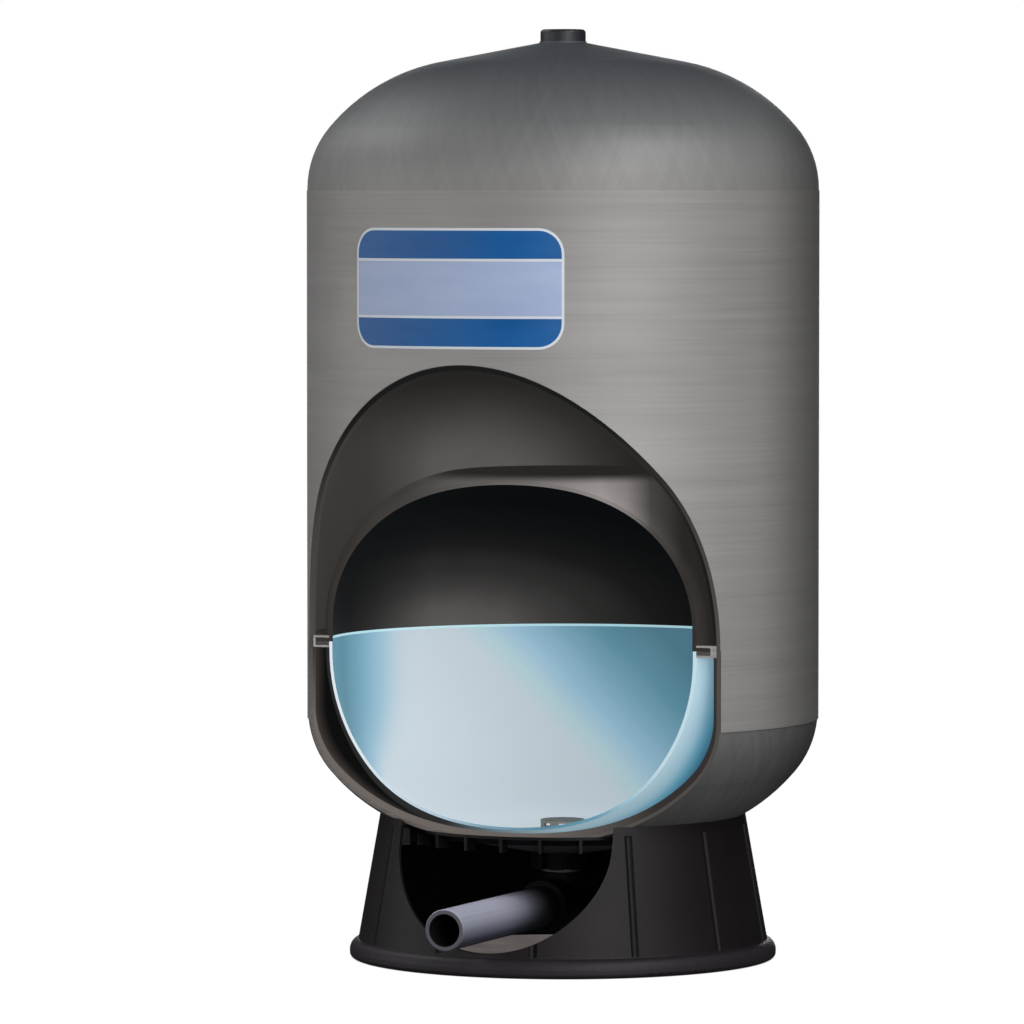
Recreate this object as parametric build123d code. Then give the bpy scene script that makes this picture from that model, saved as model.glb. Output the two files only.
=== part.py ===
from build123d import *
import os
from math import atan, cos, degrees, radians, sin, sqrt, tan

# A diaphragm pressure tank of filament-wound fiberglass on a moulded skirt, with a window cut
# through its front so that the diaphragm and the water liner show. Millimetres; +Z is up, the
# front is -Y, and the origin is on the floor below the tank's axis.

# Vessel: a straight cylinder between two equal domes, each a knuckle arc, a crown arc and a
# shallow cone that runs up to the pole.
tank_radius = 266.7
straight_bottom = 259.5
straight_length = 542.0
knuckle_radius = 100.0
knuckle_angle = 40.0
crown_radius = 200.0
pole_slope = 10.8
glass_wall = 3.8
inner_wall = 2.8
floor_build = 4.4
hoop_band = 0.6
hoop_band_below = 9.0
hoop_band_above = 2.0

# Window: a plane in front of the axis that leans forward in an arc above the clench ring.
window_depth = 136.0
window_arc = 320.0
window_lean = 34.0
cell_cut_depth = 140.0

# Water cell: the liner below and the diaphragm above, their rims held in a steel channel.
ring_level = 332.5
ring_height = 12.0
ring_width = 15.0
ring_sheet = 2.0
liner_wall = 2.6
liner_side_arc = 224.0
liner_side_angle = 57.0
liner_floor_arc = 150.0
diaphragm_wall = 3.2
diaphragm_top = 509.5
diaphragm_corner = 156.0

# Air valve in the top pole.
neck_radius = 24.6
neck_rise = 0.8
boss_flange_radius = 40.0
boss_flange = 5.0
spigot_radius = 17.5
spigot_height = 8.0
well_radius = 11.0
well_depth = 17.0
hub_radius = 17.0
hub_floor = 7.0
cap_radius = 23.6
cap_height = 12.4
cap_crown = 2.8
cap_edge = 3.6
o_ring_section = 2.6
stem_radius = 3.85
stem_height = 21.5
stem_thread_radius = 4.7
stem_thread_length = 7.0
stem_hex = 11.0
stem_hex_height = 4.0
stem_bore = 2.1
core_radius = 2.5
core_length = 14.0
core_sunk = 1.8
core_bore = 1.9
core_shoulder = 1.5
core_slot = 1.2
pin_radius = 0.7
pin_sunk = 0.6
pin_collar_radius = 1.7
pin_collar = 1.0
pin_cup_radius = 1.9
pin_cup = 2.0
spring_wire = 0.4
spring_turns = 6
spring_length = 6.6

# Water connection in the bottom pole.
pipe_radius = 21.1
pipe_bore = 16.25
pipe_end = 311.0
pipe_mark_from_end = 28.0
pipe_mark_width = 2.0
pipe_mark_depth = 0.4
fitting_thread_radius = 22.0
fitting_flange_radius = 36.0
fitting_flange = 4.6
nut_radius = 46.0
nut_height = 13.0
nut_lugs = 12
nut_slot_width = 9.0
nut_slot_depth = 8.0
elbow_radius = 27.0
elbow_way = 17.5
elbow_below_nut = 4.5
elbow_rise = 32.5
elbow_socket_end = 58.0
socket_depth_up = 18.0
socket_depth_out = 24.0
diffuser_radius = 23.5
diffuser_height = 12.4
diffuser_wall = 3.0
diffuser_slots = 8
diffuser_slot_width = 8.5
diffuser_slot_height = 5.6

# Skirt: a conical wall on a rolled foot, with an access notch and moulded grooves.
skirt_wall = 5.0
skirt_top_radius = 190.5
skirt_foot_radius = 217.0
skirt_foot_height = 20.0
foot_roll_radius = 222.7
foot_flare = 12.0
foot_edge = 5.0
foot_inner_step = 6.0
seat_width = 40.0
seat_depth = 4.5
seat_left_in_notch = 16.0
gusset_count = 25
gusset_width = 3.5
gusset_height = 22.0
gusset_nose = 8.0
notch_half_width = 118.0
notch_height = 105.0
notch_bottom = 23.5
groove_pitch = 28.5
grooves_each_side = 6
groove_round = 4.5
groove_depth = 2.6
groove_foot_gap = 1.0
groove_top_gap = 9.0

# Fits.
seat_gap = 0.2
thread_gap = 0.3
slide_gap = 0.3
seal_thickness = 2.0

# Places that follow from the sizes above.
straight_top = straight_bottom + straight_length
middle_level = straight_bottom + straight_length / 2
knuckle_centre = tank_radius - knuckle_radius
crown_centre = knuckle_centre - (crown_radius - knuckle_radius) * cos(radians(knuckle_angle))
crown_drop = (crown_radius - knuckle_radius) * sin(radians(knuckle_angle))
shell_wall = glass_wall + inner_wall
cone_thickness = 1 / cos(radians(pole_slope))


def pole_cone_rise(radius, inset):
    """Height above the tangent line of the dome's cone, its surface moved inward by inset."""
    crown = crown_radius - inset
    foot_r = crown_centre + crown * sin(radians(pole_slope))
    foot_z = crown * cos(radians(pole_slope)) - crown_drop
    return foot_z + (foot_r - radius) * tan(radians(pole_slope))


def top_cone_z(radius, inset=0.0):
    return straight_top + pole_cone_rise(radius, inset)


def bottom_cone_z(radius, inset=0.0):
    return straight_bottom - pole_cone_rise(radius, inset)


def floor_cone_z(radius):
    """Height of the lower inner shell's inside on its cone."""
    return bottom_cone_z(radius, shell_wall) + floor_build


def roof_cone_z(radius):
    """Height of the upper inner shell's inside on its cone."""
    return top_cone_z(radius, shell_wall)


def turned(face):
    """Solid of revolution of a half section drawn as radius and height."""
    return revolve(Plane.XZ * face, Axis.Z)


def slab(inner_r, outer_r, low_z, high_z):
    """Rectangular half section between two radii and two heights."""
    place = Pos((inner_r + outer_r) / 2, (low_z + high_z) / 2)
    return place * Rectangle(outer_r - inner_r, high_z - low_z)


def dome_edge(inset, tangent_z, way):
    """Edges of one dome from the cylinder to the axis; way is 1 for the top, -1 for the bottom."""
    knuckle_turn = way * knuckle_angle
    crown_turn = way * (90 - pole_slope - knuckle_angle)
    knuckle = CenterArc((knuckle_centre, tangent_z), knuckle_radius - inset, 0, knuckle_turn)
    crown_middle = (crown_centre, tangent_z - way * crown_drop)
    crown = CenterArc(crown_middle, crown_radius - inset, knuckle_turn, crown_turn)
    pole = (0, tangent_z + way * pole_cone_rise(0, inset))
    return knuckle + crown + Line(crown @ 1, pole)


def vessel_section(inset, floor_lift=0.0):
    """Filled half section of the vessel, its outline moved inward by inset and its floor up."""
    side_r = tank_radius - inset
    floor_tangent = straight_bottom + floor_lift
    side = Line((side_r, floor_tangent), (side_r, straight_top))
    top = dome_edge(inset, straight_top, 1)
    bottom = dome_edge(inset, floor_tangent, -1)
    axis = Line((0, bottom_cone_z(0, inset) + floor_lift), (0, top_cone_z(0, inset)))
    return make_face(side + top + bottom + axis)


def window_cutter():
    """What the window removes from the shells: all in front of a leaning, curved sheet."""
    reach = tank_radius + 40
    low = (-window_depth, 0)
    knee = (-window_depth, ring_level)
    bend = CenterArc((-window_depth - window_arc, ring_level), window_arc, 0, window_lean)
    leaving = bend @ 1
    run = reach - abs(leaving.X)
    outside = (-reach, leaving.Y + run / tan(radians(window_lean)))
    corner = (-reach, 0)
    outline = Line(low, knee) + bend + Polyline(leaving, outside, corner, low)
    return extrude(Plane.YZ * make_face(outline), amount=reach, both=True)


def cell_cutter():
    """What the cut removes from the water cell: all in front of an upright plane."""
    reach = tank_radius + 40
    front = Pos(0, -cell_cut_depth - reach / 2, ring_level)
    return front * Box(2 * reach, reach, 2 * ring_level)


def fiberglass_shell():
    """Wound fiberglass vessel with a thin hoop layer that ends just inside each dome."""
    helical = vessel_section(hoop_band) - vessel_section(glass_wall)
    band_low = straight_bottom - hoop_band_below
    band_high = straight_top - hoop_band_above
    hoop = slab(tank_radius - glass_wall / 2, tank_radius, band_low, band_high)
    top_hole = slab(0, neck_radius + thread_gap, middle_level, 2 * straight_top)
    bottom_hole = slab(0, fitting_thread_radius + thread_gap, 0, middle_level)
    return turned(helical + hoop - top_hole - bottom_hole) - window_cutter()


def inner_shell(way):
    """One half of the moulded plastic shell that the fiberglass is wound on."""
    layer = vessel_section(glass_wall) - vessel_section(shell_wall, floor_build)
    rebate = ring_height / 2 + seat_gap
    if way > 0:
        kept = slab(neck_radius + thread_gap, tank_radius, ring_level + rebate, 2 * straight_top)
    else:
        kept = slab(fitting_thread_radius + thread_gap, tank_radius, 0, ring_level - rebate)
    return turned(layer & kept) - window_cutter()


ring_outer = tank_radius - glass_wall - slide_gap
ring_inner = ring_outer - ring_width
cell_radius = ring_inner - slide_gap
flange_radius = ring_outer - ring_sheet - slide_gap
flange_reach = ring_height / 2 - ring_sheet - seat_gap


def clench_ring():
    """Rolled channel, open toward the axis, that holds both rims."""
    outside = slab(ring_inner, ring_outer, ring_level - ring_height / 2, ring_level + ring_height / 2)
    inside_half = ring_height / 2 - ring_sheet
    hollow = slab(ring_inner - 1, ring_outer - ring_sheet, ring_level - inside_half, ring_level + inside_half)
    return turned(outside - hollow) - cell_cutter()


def diaphragm_section(inset):
    """Filled half section of the diaphragm above the ring, moved inward by inset."""
    corner_z = diaphragm_top - diaphragm_corner
    corner_r = cell_radius - diaphragm_corner
    side_r = cell_radius - inset
    side = Line((side_r, ring_level), (side_r, corner_z))
    corner = CenterArc((corner_r, corner_z), diaphragm_corner - inset, 0, 90)
    top_z = diaphragm_top - inset
    closing = Polyline(corner @ 1, (0, top_z), (0, ring_level), (side_r, ring_level))
    return make_face(side + corner + closing)


def diaphragm():
    """Flat-topped rubber diaphragm with a rim bead in the upper half of the channel."""
    rim = slab(cell_radius - diaphragm_wall, flange_radius, ring_level + seat_gap / 2, ring_level + flange_reach)
    wall = diaphragm_section(0) - diaphragm_section(diaphragm_wall)
    above = slab(0, tank_radius, ring_level + seat_gap / 2, straight_top)
    return turned((wall & above) + rim) - cell_cutter()


def liner_section(inset):
    """Filled half section of the liner below the ring, moved inward by inset.

    Its floor is a cone that lies on the lower shell, and the side rises from there in two arcs.
    """
    slope = radians(pole_slope)
    turn = radians(liner_side_angle)
    arc_step = liner_side_arc - liner_floor_arc
    side_centre_r = cell_radius - liner_side_arc
    floor_centre_r = side_centre_r + arc_step * sin(turn)
    floor_end_r = floor_centre_r + liner_floor_arc * sin(slope)
    floor_end_z = floor_cone_z(floor_end_r) + seat_gap * cone_thickness
    floor_centre_z = floor_end_z + liner_floor_arc * cos(slope)
    side_centre_z = floor_centre_z + arc_step * cos(turn)
    side_r = cell_radius - inset
    rim = Line((side_r, ring_level), (side_r, side_centre_z))
    side = CenterArc((side_centre_r, side_centre_z), liner_side_arc - inset, 0, liner_side_angle - 90)
    floor = CenterArc(
        (floor_centre_r, floor_centre_z),
        liner_floor_arc - inset,
        liner_side_angle - 90,
        pole_slope - liner_side_angle,
    )
    pole = (0, floor_cone_z(0) + (seat_gap + inset) * cone_thickness)
    closing = Polyline(floor @ 1, pole, (0, ring_level), (side_r, ring_level))
    return make_face(rim + side + floor + closing)


def water_liner():
    """Pale plastic bowl whose rim lies in the lower half of the channel."""
    rim = slab(cell_radius - liner_wall, flange_radius, ring_level - flange_reach, ring_level - seat_gap / 2)
    wall = liner_section(0) - liner_section(liner_wall)
    below = slab(fitting_thread_radius + thread_gap, tank_radius, 0, ring_level - seat_gap / 2)
    return turned((wall & below) + rim) - cell_cutter()


neck_top = top_cone_z(neck_radius) + neck_rise
well_floor = neck_top - well_depth
stem_top = well_floor + stem_height
core_top = stem_top - core_sunk
core_bottom = core_top - core_length
spring_bottom = core_bottom + core_shoulder
collar_bottom = spring_bottom + spring_length


def cone_band(inner_r, outer_r, cone_z, low_offset, high_offset):
    """Half section of a band along the roof's or floor's cone, between two vertical offsets."""
    inner_z = cone_z(inner_r)
    outer_z = cone_z(outer_r)
    low = [(inner_r, inner_z + low_offset), (outer_r, outer_z + low_offset)]
    high = [(outer_r, outer_z + high_offset), (inner_r, inner_z + high_offset)]
    return make_face(Polyline(*low, *high, close=True))


def valve_boss():
    """Moulded insert in the top pole: flange and hub inside, neck through, capped spigot."""
    seal_low = (2 * seat_gap + seal_thickness) * cone_thickness
    flange = cone_band(0, boss_flange_radius, roof_cone_z, -seal_low - boss_flange, -seal_low)
    neck = slab(0, neck_radius, roof_cone_z(0) - seal_low - boss_flange, neck_top)
    hub = slab(0, hub_radius, well_floor - hub_floor, neck_top)
    spigot = slab(0, spigot_radius, neck_top, neck_top + spigot_height)
    well = slab(0, well_radius, well_floor, neck_top + spigot_height)
    stem_hole = slab(0, stem_thread_radius + seat_gap, 0, neck_top)
    return turned(flange + neck + hub + spigot - well - stem_hole)


def boss_seal():
    """Rubber washer between the boss flange and the upper shell."""
    low = (seat_gap + seal_thickness) * cone_thickness
    inner_r = neck_radius + thread_gap
    return turned(cone_band(inner_r, boss_flange_radius - 1, roof_cone_z, -low, -seat_gap * cone_thickness))


def valve_stem():
    """Brass valve body: threaded end, hexagon and tube."""
    thread = slab(0, stem_thread_radius, well_floor - stem_thread_length, well_floor)
    tube = slab(0, stem_radius, well_floor, stem_top)
    core_room = slab(0, core_radius + seat_gap, core_bottom - seat_gap, stem_top)
    bore = slab(0, stem_bore, well_floor - stem_thread_length, stem_top)
    hexagon = RegularPolygon(stem_hex / 2, 6, major_radius=False)
    nut = Pos(0, 0, well_floor) * extrude(hexagon, amount=stem_hex_height)
    hollow = turned(core_room + bore)
    return turned(thread + tube) + nut - hollow


def valve_core():
    """Sleeve that carries the pin and its spring, slotted across its top."""
    sleeve = slab(0, core_radius, core_bottom, core_top)
    spring_room = slab(0, core_bore, spring_bottom, core_top)
    pin_hole = slab(0, pin_radius + slide_gap, core_bottom, core_top)
    slot = Pos(0, 0, core_top) * Box(2 * core_radius, core_slot, 2 * core_slot)
    return turned(sleeve - spring_room - pin_hole) - slot


def valve_pin():
    """Pin with the collar that the spring lifts and the cup that closes the sleeve."""
    cup_top = core_bottom - seat_gap
    rod = slab(0, pin_radius, cup_top - pin_cup, stem_top - pin_sunk)
    collar = slab(0, pin_collar_radius, collar_bottom, collar_bottom + pin_collar)
    cup = slab(0, pin_cup_radius, cup_top - pin_cup, cup_top)
    return turned(rod + collar + cup)


def valve_spring():
    """Coil between the sleeve's shoulder and the pin's collar."""
    coil_radius = (core_bore + pin_radius) / 2
    rise = spring_length - spring_wire - 2 * seat_gap / 2
    start = (coil_radius, 0, spring_bottom + seat_gap / 2 + spring_wire / 2)
    path = Pos(0, 0, start[2]) * Helix(rise / spring_turns, rise, coil_radius)
    section = Plane(origin=path @ 0, z_dir=path % 0) * RegularPolygon(spring_wire / 2, 6)
    return sweep(section, path=path, is_frenet=True)


def cap_seal():
    """O-ring around the foot of the spigot."""
    section_r = o_ring_section / 2
    place = Pos(spigot_radius + section_r + seat_gap / 2, neck_top + section_r + seat_gap / 2)
    return turned(place * Circle(section_r))


def air_valve_cap():
    """Screw cap over the spigot, with a rounded top edge and a rebate for its O-ring."""
    low = neck_top + seat_gap
    high = low + cap_height
    block = slab(0, cap_radius, low, high)
    edge_corner = block.vertices().filter_by(lambda v: v.X > 1 and v.Y > high - 0.1)
    block = fillet(edge_corner, cap_edge)
    bore = slab(0, spigot_radius + slide_gap, low, high - cap_crown)
    rebate = slab(0, spigot_radius + o_ring_section + 2 * slide_gap, low, low + o_ring_section + slide_gap)
    return turned(block - bore - rebate)


nut_bore = fitting_thread_radius + thread_gap
nut_low = bottom_cone_z(nut_bore) - seat_gap - nut_height
elbow_socket_top = nut_low - elbow_below_nut
pipe_level = elbow_socket_top - elbow_rise
liner_floor_rise = (seat_gap + liner_wall) * cone_thickness
flange_rise = liner_floor_rise + (2 * seat_gap + seal_thickness) * cone_thickness
fitting_top = floor_cone_z(fitting_flange_radius) + flange_rise + fitting_flange


def inlet_fitting():
    """Flanged tube through the bottom pole; its lower end is the elbow's spigot."""
    flange_edge = floor_cone_z(fitting_flange_radius) + flange_rise
    flange_root = floor_cone_z(0) + flange_rise
    corners = [(0, flange_root), (fitting_flange_radius, flange_edge)]
    corners += [(fitting_flange_radius, fitting_top), (0, fitting_top)]
    flange = make_face(Polyline(*corners, close=True))
    thread = slab(0, fitting_thread_radius, elbow_socket_top + seat_gap, fitting_top)
    spigot_end = elbow_socket_top - socket_depth_up + seat_gap
    spigot = slab(0, pipe_radius, spigot_end, elbow_socket_top + 2 * seat_gap)
    bore = slab(0, pipe_bore, spigot_end, fitting_top)
    return turned(flange + thread + spigot - bore)


def inlet_seal():
    """Rubber washer between the fitting's flange and the liner's floor."""
    low = liner_floor_rise + seat_gap * cone_thickness
    high = low + seal_thickness * cone_thickness
    inner_r = fitting_thread_radius + thread_gap
    return turned(cone_band(inner_r, fitting_flange_radius - 1, floor_cone_z, low, high))


def lock_nut():
    """Lugged ring nut that draws the fitting down onto the shell."""
    top_inner = nut_low + nut_height
    top_outer = bottom_cone_z(nut_radius) - seat_gap
    corners = [(nut_bore, nut_low), (nut_radius, nut_low), (nut_radius, top_outer), (nut_bore, top_inner)]
    nut = turned(make_face(Polyline(*corners, close=True)))
    slot_place = Pos(nut_radius, 0, nut_low + nut_height / 2)
    slot = slot_place * Box(2 * nut_slot_depth, nut_slot_width, 2 * nut_height)
    for turn in range(nut_lugs):
        nut -= Rot(0, 0, turn * 360 / nut_lugs) * slot
    return nut


def diffuser():
    """Slotted cap on the fitting that spreads the incoming water over the liner's floor."""
    low = fitting_top + seat_gap
    high = low + diffuser_height
    outside = slab(0, diffuser_radius, low, high)
    rim_corner = outside.vertices().filter_by(lambda v: v.X > 1 and v.Y > high - 0.1)
    outside = fillet(rim_corner, diffuser_wall / 2)
    hollow = slab(0, diffuser_radius - diffuser_wall, low, high - diffuser_wall)
    cap = turned(outside - hollow)
    slot_z = high - diffuser_wall - diffuser_slot_height / 2
    slot = Pos(diffuser_radius, 0, slot_z) * Box(4 * diffuser_wall, diffuser_slot_width, diffuser_slot_height)
    for turn in range(diffuser_slots):
        cap -= Rot(0, 0, (turn + 0.5) * 360 / diffuser_slots) * slot
    return cap


def upright_rod(radius, low_z, high_z):
    """Cylinder on the tank's axis between two heights."""
    return Pos(0, 0, (low_z + high_z) / 2) * Cylinder(radius, high_z - low_z)


def forward_rod(radius, near, far):
    """Cylinder at the pipe's level that runs from near to far in front of the axis."""
    place = Pos(0, -(near + far) / 2, pipe_level) * Rot(90, 0, 0)
    return place * Cylinder(radius, far - near)


def elbow():
    """Socket elbow that turns the connection from the pole to the front."""
    corner = Pos(0, 0, pipe_level)
    body = upright_rod(elbow_radius, pipe_level, elbow_socket_top)
    body += forward_rod(elbow_radius, 0, elbow_socket_end) + corner * Sphere(elbow_radius)
    way = upright_rod(elbow_way, pipe_level, elbow_socket_top)
    way += forward_rod(elbow_way, 0, elbow_socket_end) + corner * Sphere(elbow_way)
    socket_r = pipe_radius + seat_gap
    way += upright_rod(socket_r, elbow_socket_top - socket_depth_up, elbow_socket_top)
    way += forward_rod(socket_r, elbow_socket_end - socket_depth_out, elbow_socket_end)
    return body - way


def outlet_pipe():
    """Pipe from the elbow's socket out through the notch, with an insertion mark near its end."""
    near = elbow_socket_end - socket_depth_out + seat_gap
    pipe = forward_rod(pipe_radius, near, pipe_end)
    pipe = chamfer(pipe.edges().filter_by(GeomType.CIRCLE), 1.0)
    mark_at = pipe_end - pipe_mark_from_end
    mark = forward_rod(pipe_radius + 1, mark_at, mark_at + pipe_mark_width)
    mark -= forward_rod(pipe_radius - pipe_mark_depth, mark_at, mark_at + pipe_mark_width)
    return pipe - mark - forward_rod(pipe_bore, near, pipe_end)


def dome_level(radius):
    """Height of the lower dome's outside at a radius on its crown arc."""
    crown = crown_radius - hoop_band
    return straight_bottom + crown_drop - sqrt(crown**2 - (radius - crown_centre) ** 2)


skirt_top = dome_level(skirt_top_radius)
skirt_slope = (skirt_foot_radius - skirt_top_radius) / skirt_top
seat_inner_radius = skirt_top_radius - seat_width
seat_low_inside = dome_level(seat_inner_radius) - seat_depth
seat_low_outside = skirt_top - seat_depth


def skirt_radius(z):
    return skirt_foot_radius - z * skirt_slope


def seat_underside(radius):
    """Height of the seat's straight lower face at a radius."""
    share = (radius - seat_inner_radius) / seat_width
    return seat_low_inside + share * (seat_low_outside - seat_low_inside)


def skirt_section():
    """Half section of the skirt: rolled foot, conical wall and the seat under the dome."""
    over = skirt_top + seat_depth
    wall_corners = [
        (skirt_radius(0), 0),
        (skirt_radius(over), over),
        (skirt_radius(over) - skirt_wall, over),
        (skirt_radius(0) - skirt_wall, 0),
    ]
    wall = make_face(Polyline(*wall_corners, close=True))
    foot = slab(skirt_foot_radius - skirt_wall - foot_inner_step, foot_roll_radius, 0, skirt_foot_height)
    outer_corners = foot.vertices().filter_by(lambda v: v.X > foot_roll_radius - 0.1).sort_by(Axis.Y)
    foot = fillet(outer_corners[-1], foot_flare)
    lower_corner = foot.vertices().filter_by(lambda v: v.X > foot_roll_radius - 0.1).sort_by(Axis.Y)[0]
    foot = fillet(lower_corner, foot_edge)
    seat_outer = skirt_top_radius - skirt_wall / 2
    seat_corners = [
        (seat_inner_radius, seat_low_inside),
        (seat_outer, seat_underside(seat_outer)),
        (seat_outer, over),
        (seat_inner_radius, over),
    ]
    return wall + foot + make_face(Polyline(*seat_corners, close=True))


def skirt_gusset():
    """Rib under the seat from its inner edge to the wall, on the front."""
    nose_r = seat_inner_radius + 2
    wall_r = skirt_top_radius - skirt_wall / 2
    wall_z = seat_underside(wall_r)
    corners = [
        (nose_r, seat_underside(nose_r) + 1),
        (wall_r, wall_z + 1),
        (skirt_radius(wall_z - gusset_height) - skirt_wall / 2, wall_z - gusset_height),
        (nose_r, seat_underside(nose_r) - gusset_nose),
    ]
    web = make_face(Polyline(*corners, close=True))
    return Rot(0, 0, -90) * extrude(Plane.XZ * web, amount=gusset_width / 2, both=True)


def skirt_groove():
    """Round-bottomed groove down the outside of the wall, on the front."""
    low = skirt_foot_height + groove_foot_gap
    high = skirt_top - groove_top_gap
    middle = (low + high) / 2
    length = (high - low) * sqrt(1 + skirt_slope**2)
    out = skirt_radius(middle) + groove_round - groove_depth
    return Pos(0, -out, middle) * Rot(-degrees(atan(skirt_slope)), 0, 0) * Cylinder(groove_round, length)


def skirt_notch():
    """Access notch through the front of the wall: half an ellipse, open at the top.

    The inner part of the seat runs on across it.
    """
    centre_z = notch_bottom + notch_height
    rise = skirt_top + 2 * seat_depth - centre_z
    bowl = Pos(0, centre_z) * Ellipse(notch_half_width, notch_height)
    throat = Pos(0, centre_z + rise / 2) * Rectangle(2 * notch_half_width, rise)
    below = Pos(0, centre_z - notch_height) * Rectangle(2 * notch_half_width, 2 * notch_height)
    outline = (bowl & below) + throat
    seat_kept = upright_rod(seat_inner_radius + seat_left_in_notch, 0, 2 * skirt_top)
    return extrude(Plane.XZ * outline, amount=foot_roll_radius + 20) - seat_kept


def base_skirt():
    """Moulded skirt that the tank stands on, its top edge formed to the lower dome."""
    skirt = turned(skirt_section())
    gusset = skirt_gusset()
    for turn in range(gusset_count):
        skirt += Rot(0, 0, turn * 360 / gusset_count) * gusset
    skirt -= turned(vessel_section(hoop_band - seat_gap))
    skirt -= skirt_notch()
    groove = skirt_groove()
    for step in range(grooves_each_side):
        azimuth = (step + 0.5) * groove_pitch
        skirt -= Rot(0, 0, azimuth) * groove
        skirt -= Rot(0, 0, -azimuth) * groove
    return skirt


parts = {
    "fiberglass_shell": fiberglass_shell(),
    "inner_shell_upper": inner_shell(1),
    "inner_shell_lower": inner_shell(-1),
    "clench_ring": clench_ring(),
    "diaphragm": diaphragm(),
    "water_liner": water_liner(),
    "valve_boss": valve_boss(),
    "boss_seal": boss_seal(),
    "valve_stem": valve_stem(),
    "valve_core": valve_core(),
    "valve_pin": valve_pin(),
    "valve_spring": valve_spring(),
    "cap_seal": cap_seal(),
    "air_valve_cap": air_valve_cap(),
    "inlet_fitting": inlet_fitting(),
    "inlet_seal": inlet_seal(),
    "lock_nut": lock_nut(),
    "diffuser": diffuser(),
    "elbow": elbow(),
    "outlet_pipe": outlet_pipe(),
    "base_skirt": base_skirt(),
}

os.makedirs("parts", exist_ok=True)
for name, solid in parts.items():
    export_step(solid, f"parts/{name}.step")
    print(f"{name}: {solid.volume / 1000:.2f} cm3")
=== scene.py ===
# %% [markdown]
# A wound fiberglass pressure tank, cut open at the front. Compressed air fills the upper half and
# water the lower half, with a rubber diaphragm between them. The engineering model already holds
# every rigid piece at its real size, so this lesson adds what makes it look real: the finishes,
# the label, the small screw threads, the light and the camera.
#
# The frame comes first. Its nodes are in metres, +Z is up, the front is -Y, and nothing in it is
# moved: each finish is put into the material slots of the node it belongs to.

# %% Load the frame
from math import cos, pi, radians, sin

import bmesh
import bpy
from mathutils import Matrix, Vector


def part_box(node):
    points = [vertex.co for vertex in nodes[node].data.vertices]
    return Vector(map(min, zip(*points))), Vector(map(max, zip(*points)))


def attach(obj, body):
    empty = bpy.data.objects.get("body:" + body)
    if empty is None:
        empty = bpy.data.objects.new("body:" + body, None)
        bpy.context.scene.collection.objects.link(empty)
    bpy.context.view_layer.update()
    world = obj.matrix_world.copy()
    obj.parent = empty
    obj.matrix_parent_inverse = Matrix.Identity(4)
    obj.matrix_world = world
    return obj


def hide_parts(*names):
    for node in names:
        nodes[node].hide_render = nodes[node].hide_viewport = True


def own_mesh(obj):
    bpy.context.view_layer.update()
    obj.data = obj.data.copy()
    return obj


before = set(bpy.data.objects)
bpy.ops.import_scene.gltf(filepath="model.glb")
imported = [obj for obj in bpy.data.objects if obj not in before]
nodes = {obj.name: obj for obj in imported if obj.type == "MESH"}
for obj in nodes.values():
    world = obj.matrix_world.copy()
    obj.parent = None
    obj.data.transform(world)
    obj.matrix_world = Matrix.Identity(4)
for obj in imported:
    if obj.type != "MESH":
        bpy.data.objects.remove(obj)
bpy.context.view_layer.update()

# %% [markdown]
# The camera stands 22.5 degrees to the right of the front, 7.2 m away and 0.8 m above the floor,
# with a long lens. A long lens keeps the sides of the cylinder parallel, as in a catalogue
# picture, while the low eye still shows the skirt's foot as a shallow ellipse.

# %% Camera
VIEW_AZIMUTH = radians(22.5)
VIEW_DISTANCE = 7.2
EYE_HEIGHT = 0.80
PICTURE_WIDTH = 1024
METRES_PER_PIXEL = 0.0010418
AXIS_RIGHT_OF_CENTRE = 51
MIDDLE_HEIGHT = 0.4645

to_right = Vector((cos(VIEW_AZIMUTH), sin(VIEW_AZIMUTH), 0))
to_viewer = Vector((sin(VIEW_AZIMUTH), -cos(VIEW_AZIMUTH), 0))
eye = to_viewer * VIEW_DISTANCE + Vector((0, 0, EYE_HEIGHT))
aim = Vector((0, 0, MIDDLE_HEIGHT)) - to_right * AXIS_RIGHT_OF_CENTRE * METRES_PER_PIXEL

lens = bpy.data.cameras.new("camera")
lens.lens = lens.sensor_width * VIEW_DISTANCE / METRES_PER_PIXEL / PICTURE_WIDTH
lens.clip_end = 100
camera = bpy.data.objects.new("camera", lens)
camera.location = eye
camera.rotation_euler = (aim - eye).to_track_quat("-Z", "Y").to_euler()
bpy.context.scene.collection.objects.link(camera)
bpy.context.scene.camera = camera
print("camera: lens", round(lens.lens, 1), "mm")

# %% [markdown]
# Every finish below is a small tree of nodes. A few helpers keep the trees short: one turns an
# everyday 0-255 colour into the linear values that the renderer adds up, one makes a node and
# fills its sockets, and the others are the sums and mixes that come back in every tree.

# %% Helpers for node trees
BLACK = (0.0, 0.0, 0.0, 1.0)
WHITE_LIGHT = (1.0, 1.0, 1.0, 1.0)


def paint(red, green, blue):
    """Linear RGBA of an everyday 0-255 colour."""
    steps = [v / 255 for v in (red, green, blue)]
    lit = [v / 12.92 if v <= 0.04045 else ((v + 0.055) / 1.055) ** 2.4 for v in steps]
    return (*lit, 1.0)


def put(tree, socket, value):
    """A value or another node's output into a socket."""
    if isinstance(value, bpy.types.NodeSocket):
        tree.links.new(value, socket)
    else:
        socket.default_value = value


def add(tree, kind, inputs=None, **settings):
    """One node; inputs maps a socket's name or number to what goes into it."""
    made = tree.nodes.new(kind)
    for name, value in settings.items():
        setattr(made, name, value)
    for key, value in (inputs or {}).items():
        put(tree, made.inputs[key], value)
    return made


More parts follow.
